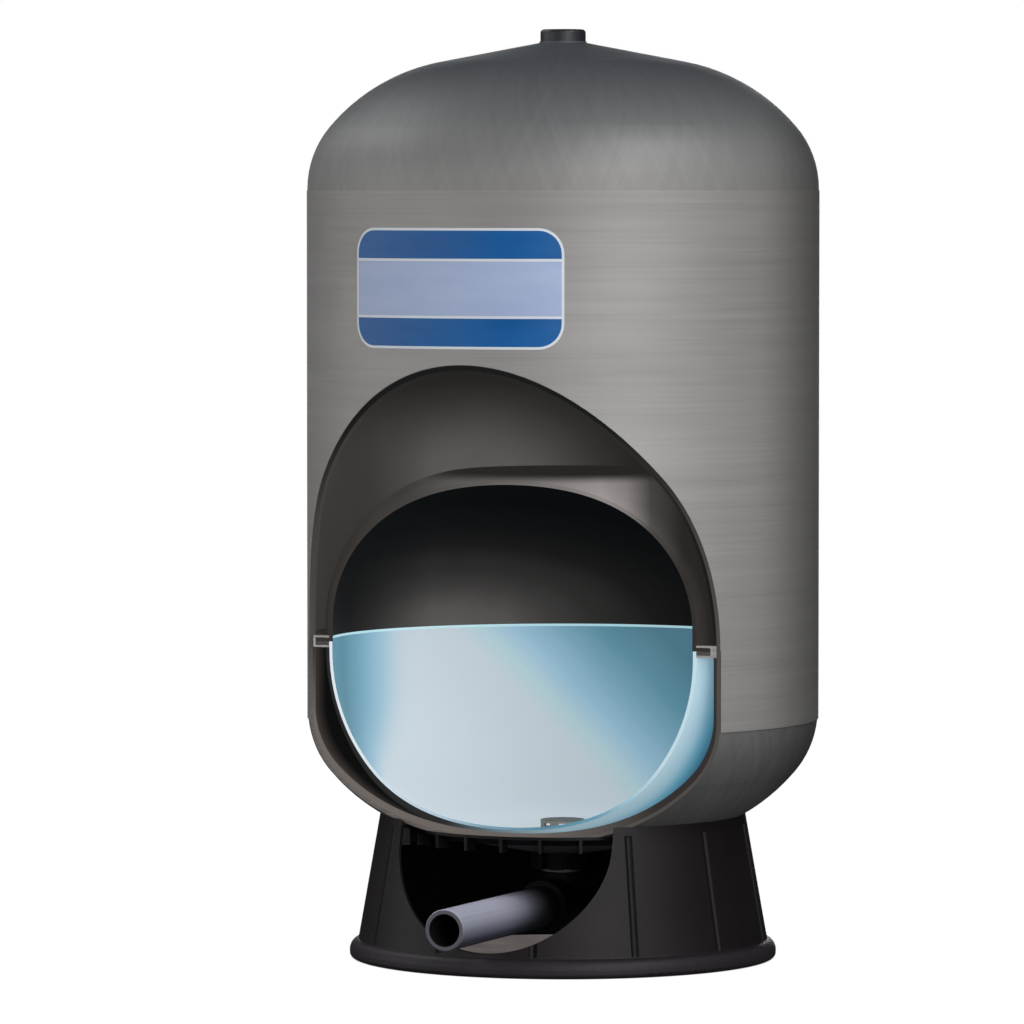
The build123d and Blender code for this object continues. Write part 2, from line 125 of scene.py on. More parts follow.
def finish_of(name, roughness, metallic=0.0, specular=0.5):
    """A new material, its node tree and its principled shader."""
    material = bpy.data.materials.new(name)
    material.use_nodes = True
    tree = material.node_tree
    shader = tree.nodes["Principled BSDF"]
    shader.inputs["Roughness"].default_value = roughness
    shader.inputs["Metallic"].default_value = metallic
    shader.inputs["Specular IOR Level"].default_value = specular
    return material, tree, shader


def sum_of(tree, operation, first, second=0.0):
    """One step of arithmetic with two numbers."""
    return add(tree, "ShaderNodeMath", {0: first, 1: second}, operation=operation).outputs[0]


def vector_sum(tree, operation, first, second=(0.0, 0.0, 0.0)):
    """One step of arithmetic with two vectors or colours; gives the node."""
    return add(tree, "ShaderNodeVectorMath", {0: first, 1: second}, operation=operation)


def span(tree, value, low, high, out_low=0.0, out_high=1.0, smooth=False):
    """Value mapped from low..high to out_low..out_high, held at both ends."""
    kind = "SMOOTHSTEP" if smooth else "LINEAR"
    made = add(tree, "ShaderNodeMapRange", {"Value": value}, interpolation_type=kind)
    for name, number in zip(("From Min", "From Max", "To Min", "To Max"), (low, high, out_low, out_high)):
        made.inputs[name].default_value = number
    return made.outputs[0]


def ramp(tree, factor, *stops):
    """Colour ramp through stops, each a position and an everyday 0-255 colour."""
    made = add(tree, "ShaderNodeValToRGB", {0: factor})
    band = made.color_ramp.elements
    while len(band) < len(stops):
        band.new(0.5)
    for element, (position, *colour) in zip(band, stops):
        element.position = position
        element.color = paint(*colour)
    return made.outputs[0]


def blend(tree, factor, first, second, way="MIX"):
    """Two colours mixed by a factor."""
    made = add(tree, "ShaderNodeMix", data_type="RGBA", blend_type=way)
    for key, value in ((0, factor), (6, first), (7, second)):
        put(tree, made.inputs[key], value)
    return made.outputs[2]


def scaled(tree, tone, factor):
    """A colour made lighter or darker by a factor."""
    made = vector_sum(tree, "SCALE", tone)
    put(tree, made.inputs["Scale"], factor)
    return made.outputs[0]


# %% [markdown]
# Most tones here go by place: how high a point is, how far to the camera's right, how deep behind
# the cut. A second set of helpers reads the place, turns it into masks that are 1 or 0, and makes
# the noise that breaks up every tone. Blender's noise stays near 0.5, so a tone runs from its dark
# to its light between two fixed values of it. The colours were set by comparing tones at points in
# the photograph with the same points in trial renders.

# %% Helpers for places and noise
NOISE_LOW, NOISE_HIGH = 0.3, 0.7


def place_of(tree):
    """Object coordinates: the whole vector, then x, y and z."""
    where = add(tree, "ShaderNodeTexCoord").outputs["Object"]
    split = add(tree, "ShaderNodeSeparateXYZ", {0: where})
    return where, split.outputs[0], split.outputs[1], split.outputs[2]


def vector_of(tree, x, y, z):
    """Three numbers as one vector."""
    return add(tree, "ShaderNodeCombineXYZ", {0: x, 1: y, 2: z}).outputs[0]


def length_of(tree, vector):
    return vector_sum(tree, "LENGTH", vector).outputs["Value"]


def along(tree, where, direction):
    """How far a point lies along a direction."""
    return vector_sum(tree, "DOT_PRODUCT", where, direction).outputs["Value"]


def reach_of(tree, where, centre, stretch):
    """Distance from a centre, with each axis stretched first."""
    away = vector_sum(tree, "SUBTRACT", where, centre).outputs[0]
    return length_of(tree, vector_sum(tree, "MULTIPLY", away, stretch).outputs[0])


def above(tree, value, level):
    """1 where the value is over a level."""
    return sum_of(tree, "GREATER_THAN", value, level)


def below(tree, value, level):
    """1 where the value is under a level."""
    return sum_of(tree, "LESS_THAN", value, level)


def near(tree, value, target, reach):
    """1 where the value lies within reach of the target."""
    inputs = {0: value, 1: target, 2: reach}
    return add(tree, "ShaderNodeMath", inputs, operation="COMPARE").outputs[0]


def product(tree, first, *others):
    """Masks or numbers multiplied."""
    for other in others:
        first = sum_of(tree, "MULTIPLY", first, other)
    return first


def faces_out(tree, where, middle):
    """1 where the surface faces away from a point in the middle."""
    facing = add(tree, "ShaderNodeNewGeometry").outputs["Normal"]
    outward = vector_sum(tree, "SUBTRACT", where, middle).outputs[0]
    return above(tree, along(tree, facing, outward), 0.0)


def grain(tree, vector, stretch, detail=3.0):
    """Noise on a vector that is stretched first; gives a value near 0.5."""
    spread = add(tree, "ShaderNodeMapping", {"Vector": vector, "Scale": stretch}).outputs[0]
    settings = {"Vector": spread, "Scale": 1.0, "Detail": detail, "Roughness": 0.55}
    return add(tree, "ShaderNodeTexNoise", settings).outputs["Fac"]


def two_tone(tree, noise, dark, light):
    """Noise as a tone that wanders between a dark and a light colour."""
    return ramp(tree, noise, (NOISE_LOW, *dark), (NOISE_HIGH, *light))


def mottled(tree, tone, noise, share, shade):
    """A tone with faint darker clouds."""
    clouds = span(tree, noise, NOISE_LOW, NOISE_HIGH, 0.0, share)
    return blend(tree, clouds, tone, shade, way="MULTIPLY")


def uneven_gloss(tree, shader, noise, low, high):
    """Roughness that follows a noise."""
    tree.links.new(span(tree, noise, NOISE_LOW, NOISE_HIGH, low, high), shader.inputs["Roughness"])


def glow(tree, shader, tone, strength):
    """Own light in a tone. Inside the window it outshines the lamps."""
    tree.links.new(tone, shader.inputs["Emission Color"])
    shader.inputs["Emission Strength"].default_value = strength


def bump(tree, shader, height, strength, depth):
    """Relief of a given depth in metres."""
    settings = {"Height": height, "Strength": strength, "Distance": depth}
    made = add(tree, "ShaderNodeBump", settings)
    tree.links.new(made.outputs[0], shader.inputs["Normal"])


def dress(material, *names):
    """Gives a finish to CAD nodes, in each of their slots."""
    for name in names:
        for slot in nodes[name].material_slots:
            slot.material = material
    print("finish", material.name, "on", ", ".join(names))


# %% [markdown]
# The shell is glass strand and resin. Over the straight side the last layer is a hoop winding,
# laid almost level, which gives the fine level streaks. The domes keep the helical winding, whose
# strands run over the shoulder toward the pole and look darker.
#
# Both patterns are noise, pulled long in one direction. For the hoop it is stretched by a large
# number along Z, so that it only changes with height. For the domes the position is first turned
# into a direction from the axis, so that the streaks run up and down the dome, and that direction
# is twisted a little with height, once each way, as the helix does.

# %% Streaks of the winding
TWIST = 1.6

wound, tree, shader = finish_of("wound_fiberglass", 0.5, metallic=0.3)
where, x, y, z = place_of(tree)
level = vector_of(tree, x, y, 0.0)
outward = vector_sum(tree, "NORMALIZE", level).outputs[0]

fine = grain(tree, where, (4.0, 4.0, 620.0), detail=4.0)
broad = grain(tree, where, (3.0, 3.0, 110.0))
cloudy = grain(tree, where, (5.0, 5.0, 9.0), detail=2.0)
hoop_streaks = add(tree, "ShaderNodeMix", {0: 0.5, 2: fine, 3: broad}).outputs[0]


def twisted(rate):
    """The direction from the axis, turned with height."""
    inputs = {"Vector": outward, "Angle": product(tree, z, rate)}
    return add(tree, "ShaderNodeVectorRotate", inputs, rotation_type="Z_AXIS").outputs[0]


strands = grain(tree, twisted(TWIST), (30.0, 30.0, 1.0), detail=4.0)
crossing = grain(tree, twisted(-TWIST), (22.0, 22.0, 1.0))
dome_streaks = add(tree, "ShaderNodeMix", {0: 0.45, 2: strands, 3: crossing}).outputs[0]
print("streaks made")

# %% [markdown]
# The change between the two windings is a crisp ring at each end of the cylinder, so the two tones
# meet at a height without any mixing. Over height the tones are painted light and shade: the hoop
# winding is painted paler low down, each dome is painted darker toward its pole, and the lower
# dome is painted lighter again near its bottom. Those tones are ramps over height.
#
# The far right is darkened along CAMERA_RIGHT, a fixed direction in the tank's frame that is the
# camera's right-hand direction. That is shade from the picture, painted on. It stays put in other
# views, but it belongs to one camera, and lamps would be the right way to make it. The three
# finishes inside the window use the same direction.

# %% Tones of the winding
HOOP_LOW, HOOP_HIGH = 0.2505, 0.7995
CAMERA_RIGHT = (0.924, 0.383, 0.0)  # cosine and sine of the camera's 22.5 degrees

hoop_tone = ramp(tree, hoop_streaks, (0.30, 158, 156, 154), (0.50, 167, 165, 163), (0.72, 176, 174, 172))
# painted light: the hoop winding is painted paler low down and darker near the top
hoop_tone = scaled(tree, hoop_tone, span(tree, z, 0.79, 0.60, 0.93, 1.08))
# painted shade: the upper dome is painted darker toward its pole
upper_dome_painted_shade = ramp(
    tree, span(tree, z, 0.80, 0.955),
    (0.0, 152, 151, 149), (0.12, 150, 149, 148), (0.30, 140, 140, 140), (0.47, 124, 126, 127),
    (0.61, 113, 116, 119), (0.80, 98, 103, 108), (1.0, 92, 98, 104),
)
# painted light: the lower dome is painted lighter near its bottom
lower_dome_painted_light = ramp(
    tree, span(tree, z, 0.250, 0.150),
    (0.0, 134, 133, 132), (0.3, 128, 128, 128), (1.0, 146, 146, 147),
)
dome_tone = blend(tree, below(tree, z, 0.5), upper_dome_painted_shade, lower_dome_painted_light)
evenly = span(tree, dome_streaks, 0.30, 0.72, -1.0, 1.0)
strength = span(tree, z, 0.80, 0.25, 0.10, 0.20)
strand_light = sum_of(tree, "ADD", product(tree, evenly, strength), 1.0)
dome_tone = scaled(tree, dome_tone, strand_light)
on_hoop = product(tree, above(tree, z, HOOP_LOW), below(tree, z, HOOP_HIGH))
skin = blend(tree, on_hoop, dome_tone, hoop_tone)
cloud_share = span(tree, cloudy, 0.35, 0.65, 0.0, 0.25)
skin = blend(tree, cloud_share, skin, paint(225, 224, 223), way="MULTIPLY")
# painted shade on the far right, along the camera's right-hand direction
right_painted_shade = span(tree, along(tree, where, CAMERA_RIGHT), 0.19, 0.265, 0.0, 0.5, smooth=True)
skin = blend(tree, right_painted_shade, skin, BLACK)
print("tones made")

# %% [markdown]
# A saw leaves the layers of glass torn and pale brown. The cut edge is told apart by its place:
# below the clench ring it lies on one flat plane, and above the ring it is whatever lies inside
# the outer radius. It is painted darkest up under the arc, where the window leans forward, and a
# little darker low on the left: painted shade. It also glows faintly in its own tone, a painted
# light.

# %% Cut edge of the shell
CUT_PLANE = -0.136
CUT_TOP = 0.3335
CUT_SKIN = 0.0004
UNDER_SKIN_RADIUS = 0.26635


def on_flat_cut(tree, y, z):
    """1 on the flat cut below the ring."""
    return product(tree, near(tree, y, CUT_PLANE, CUT_SKIN), below(tree, z, CUT_TOP))


def lower_left_of(tree, x, z):
    """1 low down on the left part of the cut, which lies in the dark."""
    return product(tree, span(tree, z, 0.33, 0.25), span(tree, x, 0.16, 0.02))


high_cut = product(
    tree, below(tree, length_of(tree, level), UNDER_SKIN_RADIUS), above(tree, z, CUT_TOP),
    below(tree, z, HOOP_HIGH),
)
cut = sum_of(tree, "MAXIMUM", on_flat_cut(tree, y, z), high_cut)
torn = grain(tree, where, (60.0, 60.0, 900.0), detail=2.0)
edge_tone = two_tone(tree, torn, (96, 90, 86), (124, 117, 112))
# painted shade low on the left of the cut edge
edge_tone = blend(tree, lower_left_of(tree, x, z), paint(84, 80, 76), edge_tone)
# painted shade up under the arc
edge_tone = blend(tree, span(tree, z, 0.45, 0.56), edge_tone, paint(34, 32, 31))
tree.links.new(blend(tree, cut, skin, edge_tone), shader.inputs["Base Color"])
# painted light: the cut edge glows faintly in its own tone
glow(tree, shader, blend(tree, cut, BLACK, edge_tone), 0.25)

rough = span(tree, sum_of(tree, "ADD", fine, cloudy), 0.7, 1.3, 0.50, 0.60)
tree.links.new(rough, shader.inputs["Roughness"])
relief = add(tree, "ShaderNodeMix", {0: on_hoop, 2: dome_streaks, 3: hoop_streaks}).outputs[0]
bump(tree, shader, relief, 0.12, 0.0005)
dress(wound, "fiberglass_shell")

# %% [markdown]
# Inside the glass there is a moulded plastic shell, grey-brown and satin, in two halves. The back
# is painted paler where light would fall on it, and painted near black up under the dome and down
# in the gap around the liner: painted light and shade. The left wall is painted as if evenly lit,
# and the cut edge darker low on the left. The pale patch is a distance from one point on the back
# wall, run through a colour ramp. Inside a closed vessel light bounces many times from wall to
# wall, which is slow to trace, so the wall glows in its own painted colour instead. The glow is
# strong: with every lamp off, about nine tenths of what shows here is still there. So the pale
# patch is the picture's light, painted in a plane that faces the camera, and it does not answer
# to the lamps.

# %% Inner shell
LIT_BACK = (-0.100, 0.0, 0.490)
RING_LEVEL = 0.3325

moulded, tree, shader = finish_of("inner_shell", 0.55, specular=0.3)
where, x, y, z = place_of(tree)
rightward = along(tree, where, CAMERA_RIGHT)
flat_place = vector_of(tree, rightward, 0.0, z)
reach = reach_of(tree, flat_place, LIT_BACK, (0.6, 0.0, 1.0))
lit_back = ramp(
    tree, span(tree, reach, 0.0, 0.18),
    (0.0, 96, 94, 91), (0.17, 91, 89, 87), (0.26, 83, 81, 79), (0.36, 69, 67, 65),
    (0.48, 51, 50, 48), (0.58, 40, 39, 37), (0.80, 23, 22, 21), (1.0, 13, 12, 11),
)
# painted light on the left wall
left_wall_painted_light = product(tree, span(tree, rightward, -0.14, -0.22), span(tree, z, 0.60, 0.50))
tone = blend(tree, left_wall_painted_light, lit_back, paint(60, 58, 56))
clouds = grain(tree, where, (14.0, 14.0, 14.0), detail=5.0)
tone = mottled(tree, tone, clouds, 0.2, paint(200, 198, 196))
# painted shade: the gap wall is painted darker with depth behind the cut
gap_painted_shade = ramp(
    tree, span(tree, y, CUT_PLANE, -0.030), (0.0, 88, 83, 79), (0.6, 58, 54, 51), (1.0, 16, 15, 15),
)
tone = blend(tree, below(tree, z, RING_LEVEL), tone, gap_painted_shade)
# painted shade low on the left of the cut edge
cut_tone = blend(tree, lower_left_of(tree, x, z), paint(36, 33, 32), paint(92, 86, 82))
tone = blend(tree, on_flat_cut(tree, y, z), tone, cut_tone)
tree.links.new(tone, shader.inputs["Base Color"])
glow(tree, shader, tone, 0.85)
bump(tree, shader, grain(tree, where, (220.0, 220.0, 220.0), detail=2.0), 0.06, 0.0004)
dress(moulded, "inner_shell_upper", "inner_shell_lower")

# %% [markdown]
# The diaphragm is butyl rubber. Outside it is brown-grey, with a pale painted highlight on the
# shoulder and painted shade on either side of it, and its flat top and lower part are painted
# dark, a painted shade. Inside it is painted near black, a painted shade, and only a soft patch
# low on the back is painted grey, a painted light for light that comes through the pale liner
# under it. The two sides are told apart by whether the surface faces away from the middle of the
# cell. As in the shell, the light and shade are painted along CAMERA_RIGHT and height, and with
# every lamp off eight to nine tenths of what shows is still there.

# %% Diaphragm rubber
CELL_MIDDLE = (0.0, 0.0, 0.36)
CELL_CUT = -0.140
LIT_HOLLOW = (-0.118, 0.0, 0.328)

rubber, tree, shader = finish_of("diaphragm_rubber", 0.6, specular=0.08)
where, x, y, z = place_of(tree)
rightward = along(tree, where, CAMERA_RIGHT)
flat_place = vector_of(tree, rightward, 0.0, z)
reach = reach_of(tree, flat_place, LIT_HOLLOW, (0.42, 0.0, 1.0))
inner_tone = ramp(
    tree, span(tree, reach, 0.0, 0.14),
    (0.0, 100, 98, 96), (0.17, 90, 88, 86), (0.32, 67, 65, 64), (0.45, 50, 49, 48),
    (0.55, 42, 41, 40), (0.65, 27, 26, 26), (0.80, 15, 15, 15), (1.0, 4, 4, 4),
)
left_shade = span(tree, rightward, -0.14, -0.225, 0.0, 0.8)
inner_tone = blend(tree, left_shade, inner_tone, paint(5, 5, 5))
outside = faces_out(tree, where, CELL_MIDDLE)
# painted highlight on the shoulder, with painted shade on either side of it
shoulder = ramp(
    tree, span(tree, rightward, -0.22, 0.14),
    (0.0, 56, 53, 51), (0.17, 68, 65, 63), (0.37, 102, 98, 96), (0.61, 136, 131, 129),
    (0.72, 158, 153, 151), (0.79, 140, 135, 133), (0.86, 76, 73, 71), (0.95, 46, 43, 42),
)
# painted shade on the flat top
flat_top = span(tree, z, 0.4985, 0.5085, smooth=True)
outer_tone = blend(tree, flat_top, shoulder, paint(44, 42, 41))
# painted shade on the lower part of the outside
outer_tone = blend(tree, span(tree, z, 0.46, 0.35, 0.0, 0.45), outer_tone, paint(40, 37, 36))
tone = blend(tree, outside, inner_tone, outer_tone)
clouds = grain(tree, where, (30.0, 30.0, 30.0), detail=4.0)
tone = mottled(tree, tone, clouds, 0.2, paint(190, 188, 186))
at_cut = near(tree, y, CELL_CUT, CUT_SKIN)
tone = blend(tree, product(tree, at_cut, 0.35), tone, paint(40, 37, 36))
# painted shade: inside, the base colour is darkened to a fifth
shaded = blend(tree, span(tree, outside, 0.0, 1.0, 0.8, 0.0), tone, BLACK)
tree.links.new(shaded, shader.inputs["Base Color"])
glow(tree, shader, tone, 0.8)
bump(tree, shader, grain(tree, where, (260.0, 260.0, 260.0), detail=2.0), 0.08, 0.0003)
dress(rubber, "diaphragm")

# %% [markdown]
# The water liner is a pale blue, slightly translucent plastic. Light comes through it as well as
# off it, so it looks almost white where the wall is seen square on and teal where it turns away.
# Clear plastic would need many light paths. It is cheaper and steadier to mix the blues by place
# and to let the surface glow in its own colour. That glow is about seven to eight tenths of what
# shows, so the liner too looks much the same whatever the lamps do.
#
# Two ramps of painted light and shade make the inside: one climbs along height and CAMERA_RIGHT
# together, from the pale middle up to the teal on the right, the other goes by depth behind the
# cut and darkens a narrow strip along the left edge of the bowl. The darker of the two wins. The
# outside is painted light and shade too, from pale at the cut to deep teal further round, and
# near black on the left.

# %% Inside and outside of the liner
liner, tree, shader = finish_of("liner_plastic", 0.35, specular=0.3)
where, x, y, z = place_of(tree)
rightward = along(tree, where, CAMERA_RIGHT)
climb = sum_of(tree, "ADD", rightward, z)
# painted light and shade: pale middle up to teal on the upper right
upper_right = ramp(
    tree, span(tree, climb, 0.17, 0.43),
    (0.0, 195, 203, 209), (0.12, 197, 206, 211), (0.28, 177, 202, 215), (0.44, 147, 183, 202),
    (0.60, 121, 162, 180), (0.77, 92, 140, 156), (1.0, 76, 118, 134),
)
drop = sum_of(tree, "POWER", span(tree, z, 0.33, 0.175), 3.0)
inward = sum_of(tree, "ADD", y, product(tree, drop, 0.14))
# painted shade: a darker strip along the left edge of the bowl
left_edge = ramp(
    tree, span(tree, inward, -0.02, 0.12),
    (0.0, 74, 122, 140), (0.27, 106, 150, 168), (0.45, 130, 168, 187), (0.61, 154, 183, 197),
    (0.74, 177, 194, 203), (0.84, 188, 199, 206), (1.0, 193, 202, 208),
)
inside_tone = blend(tree, 1.0, upper_right, left_edge, way="DARKEN")
# painted light and shade on the outside, pale at the cut to deep teal
outside_tone = ramp(
    tree, span(tree, y, CELL_CUT, CELL_CUT + 0.040),
    (0.0, 162, 188, 199), (0.35, 140, 174, 190), (0.65, 92, 150, 174), (1.0, 44, 104, 132),
)
# painted shade: near black on the left of the outside
outside_tone = blend(tree, span(tree, rightward, 0.0, -0.12), outside_tone, paint(30, 34, 36))
tone = blend(tree, faces_out(tree, where, CELL_MIDDLE), inside_tone, outside_tone)
print("liner tones made")

# %% [markdown]
# The rim is painted nearly white, a painted highlight. The cut edge is painted pale where it
# climbs on either side, a painted light, and teal along the bottom, a painted shade where no light
# comes through from behind. The flange that is clenched in the ring is grey and does not glow.

# %% Rim and cut edge of the liner
RIM_LEVEL = 0.3300
FLANGE_RADIUS = 0.2476

# painted highlight on the rim
tone = blend(tree, product(tree, above(tree, z, RIM_LEVEL), 0.75), tone, paint(196, 232, 238))
# painted light and shade on the cut edge
cut_tone = ramp(
    tree, span(tree, x, -0.17, 0.17),
    (0.0, 206, 216, 222), (0.28, 158, 180, 194), (0.42, 110, 144, 160), (0.62, 78, 122, 142),
    (0.78, 92, 140, 160), (0.88, 140, 178, 194), (1.0, 176, 198, 208),
)
tone = blend(tree, near(tree, y, CELL_CUT, CUT_SKIN), tone, cut_tone)
in_ring = above(tree, length_of(tree, vector_of(tree, x, y, 0.0)), FLANGE_RADIUS)
tone = blend(tree, in_ring, tone, paint(92, 88, 86))
tree.links.new(tone, shader.inputs["Base Color"])
glow(tree, shader, blend(tree, in_ring, tone, BLACK), 0.66)
bump(tree, shader, grain(tree, where, (60.0, 60.0, 60.0), detail=2.0), 0.03, 0.0005)
dress(liner, "water_liner")

# %% [markdown]
# The clench ring is rolled steel strip, satin, with fine lines along the roll, the valve is turned
# brass and its spring is drawn wire. The lines are the same stretched noise as on the hoop winding.

# %% Steel and brass
def drawn_metal(name, dark, light, roughness, stretch, metallic=1.0):
    """A metal with the fine lines of its rolling, turning or drawing."""
    material, tree, shader = finish_of(name, roughness, metallic=metallic)
    where = place_of(tree)[0]
    lines = grain(tree, where, stretch)
    tree.links.new(two_tone(tree, lines, dark, light), shader.inputs["Base Color"])
    uneven_gloss(tree, shader, lines, roughness - 0.06, roughness + 0.08)
    bump(tree, shader, lines, 0.1, 0.0002)
    return material


TURNED, FINE_TURNED = (40.0, 40.0, 2500.0), (60.0, 60.0, 2500.0)
ROLLED, DRAWN = (8.0, 8.0, 900.0), (900.0, 900.0, 900.0)
ring_steel = drawn_metal("ring_steel", (168, 162, 160), (214, 208, 206), 0.4, ROLLED, metallic=0.5)
valve_brass = drawn_metal("valve_brass", (176, 138, 72), (214, 178, 106), 0.28, TURNED)
pin_brass = drawn_metal("pin_brass", (180, 144, 80), (218, 184, 114), 0.3, FINE_TURNED)
spring_steel = drawn_metal("spring_steel", (150, 150, 152), (200, 200, 203), 0.3, DRAWN)
dress(ring_steel, "clench_ring")
dress(valve_brass, "valve_stem", "valve_core")
dress(pin_brass, "valve_pin")
dress(spring_steel, "valve_spring")

# %% [markdown]
# The other plastics are moulded. Each has its own colour, a faint mottle and a fine grain in the
# surface that breaks up the highlight. One function makes them all: only the two tones, the gloss
# and the size of the grain differ. The lock nut and the elbow sit in the dark under the tank, so
# they are painted nearly black, a painted shade, and take little shine.

# %% Moulded plastics and rubber seals
def plain_plastic(name, dark, light, roughness, grain_size, relief, specular=0.5):
    """A moulded plastic: two near tones, a fine grain and a broken highlight."""
    material, tree, shader = finish_of(name, roughness, specular=specular)
    where = place_of(tree)[0]
    clouds = grain(tree, where, (18.0, 18.0, 18.0), detail=4.0)
    tree.links.new(two_tone(tree, clouds, dark, light), shader.inputs["Base Color"])
    skin_grain = grain(tree, where, (grain_size,) * 3, detail=2.0)
    uneven_gloss(tree, shader, skin_grain, roughness - 0.05, roughness + 0.07)
    bump(tree, shader, skin_grain, relief, 0.0004)
    return material


boss_plastic = plain_plastic("boss_plastic", (78, 81, 86), (90, 93, 98), 0.5, 500.0, 0.08)
cap_plastic = plain_plastic("cap_plastic", (34, 36, 42), (46, 48, 54), 0.45, 400.0, 0.04)
seal_rubber = plain_plastic("seal_rubber", (24, 24, 25), (32, 32, 33), 0.65, 900.0, 0.1, specular=0.3)
fitting_plastic = plain_plastic("fitting_plastic", (150, 142, 132), (178, 170, 160), 0.5, 400.0, 0.08)
# painted shade: the lock nut and the elbow are painted nearly black
nut_plastic = plain_plastic("nut_plastic", (10, 10, 11), (15, 15, 16), 0.6, 400.0, 0.08, specular=0.15)
elbow_plastic = plain_plastic("elbow_plastic", (11, 11, 13), (17, 17, 19), 0.6, 400.0, 0.06, specular=0.15)
dress(boss_plastic, "valve_boss")
dress(cap_plastic, "air_valve_cap")
dress(seal_rubber, "boss_seal", "cap_seal", "inlet_seal")
dress(fitting_plastic, "inlet_fitting", "diffuser")
dress(nut_plastic, "lock_nut")
dress(elbow_plastic, "elbow")

# %% [markdown]
# The pipe is grey-lilac and extruded, so its faint lines run along it, which is along Y. Its top
# is painted lighter and its underside darker, painted light and shade. Toward the elbow it is
# painted nearly black, a painted shade, since it sits in the dark under the tank. Its bore is
# painted dark, a painted shade, and its sawn end is a little darker than its side.

# %% Outlet pipe
PIPE_LEVEL = 0.05704
SAWN_END = -0.3105
BORE_RADIUS = 0.0168

pipe_finish, tree, shader = finish_of("pipe_plastic", 0.5, specular=0.35)
where, x, y, z = place_of(tree)
lines = grain(tree, where, (260.0, 3.0, 260.0))
# painted light on top and painted shade underneath
upper_side = two_tone(tree, lines, (190, 192, 212), (204, 206, 226))
lower_side = two_tone(tree, lines, (84, 86, 99), (96, 98, 112))
height = span(tree, z, PIPE_LEVEL - 0.012, PIPE_LEVEL + 0.019)
tone = blend(tree, height, lower_side, upper_side)
# painted shade toward the elbow
elbow_painted_shade = span(tree, y, -0.220, -0.070, smooth=True)
tone = blend(tree, elbow_painted_shade, tone, paint(12, 12, 13))
tone = blend(tree, below(tree, y, SAWN_END), tone, paint(104, 104, 114))
# painted shade: the bore is painted dark
from_middle = reach_of(tree, where, (0.0, 0.0, PIPE_LEVEL), (1.0, 0.0, 1.0))
tone = blend(tree, below(tree, from_middle, BORE_RADIUS), tone, paint(20, 21, 23))
tree.links.new(tone, shader.inputs["Base Color"])
bump(tree, shader, lines, 0.08, 0.0003)
dress(pipe_finish, "outlet_pipe")

# %% [markdown]
# The skirt is black polyethylene with the fine spark-eroded grain of its mould. The grain needs no
# drawing: noise in the bump makes the wall catch a broken, dull highlight. The grooves are painted
# darker, a painted shade. They stand at equal angles, so the angle around the axis, folded by the
# pitch of the grooves, finds them all at once. The foot is painted lighter, a painted highlight.
# The wall is a cone, so its inside is found by a radius that shrinks with height, and there it is
# painted near black, a painted shade.

# %% Skirt
GROOVE_PITCH = radians(28.5)
WALL_LOW, WALL_HIGH = 0.0205, 0.1440
WALL_LEAN = 0.175
INSIDE_RADIUS = 0.2140

skirt_finish, tree, shader = finish_of("skirt_plastic", 0.5, specular=0.3)
where, x, y, z = place_of(tree)
clouds = grain(tree, where, (12.0, 12.0, 12.0), detail=4.0)
tone = two_tone(tree, clouds, (23, 17, 21), (29, 23, 27))
around = sum_of(tree, "ARCTAN2", x, product(tree, y, -1.0))
turned = sum_of(tree, "ADD", around, 8 * GROOVE_PITCH)
folded = sum_of(tree, "PINGPONG", turned, GROOVE_PITCH / 2)
from_groove = sum_of(tree, "SUBTRACT", GROOVE_PITCH / 2, folded)
in_groove = span(tree, from_groove, radians(0.8), radians(1.5), 1.0, 0.0)
on_wall = product(tree, above(tree, z, WALL_LOW), below(tree, z, WALL_HIGH))
# painted shade in the grooves
tone = blend(tree, product(tree, in_groove, on_wall), tone, paint(9, 7, 9))
# painted highlight: the foot is painted lighter
foot = span(tree, z, 0.022, 0.016)
tone = blend(tree, foot, tone, paint(46, 41, 46))
radius = length_of(tree, vector_of(tree, x, y, 0.0))
foot_radius = sum_of(tree, "ADD", radius, product(tree, z, WALL_LEAN))
# painted shade: the inside of the skirt is painted near black
tone = blend(tree, below(tree, foot_radius, INSIDE_RADIUS), tone, paint(7, 6, 7))
tree.links.new(tone, shader.inputs["Base Color"])
leather = grain(tree, where, (700.0, 700.0, 700.0), detail=2.0)
uneven_gloss(tree, shader, leather, 0.46, 0.60)
bump(tree, shader, leather, 0.10, 0.0004)
dress(skirt_finish, "base_skirt")

# %% [markdown]
# Two pieces carry screw threads that show when the cap is off: the spigot of the boss and the
# brass valve stem. Each thread is one small triangle, spun about the axis while it climbs. The
# spin operator does the climbing itself when it is given a step along the axis.

# %% Screw threads
STEM_TOP = 0.9586216
NECK_TOP = 0.9541216
STEM_ROOT, SPIGOT_ROOT = 0.00385, 0.01745


def piece(name, mesh, body, materials, smooth=True):
    """A finished bmesh made into an object that rides on a body."""
    data = bpy.data.meshes.new(name)
    mesh.to_mesh(data)
    mesh.free()
    for material in materials:
        data.materials.append(material)
    for polygon in data.polygons:
        polygon.use_smooth = smooth
    made = bpy.data.objects.new(name, data)
    bpy.context.scene.collection.objects.link(made)
    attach(made, body)
    print("piece", name, "has", len(data.polygons), "faces")
    return made


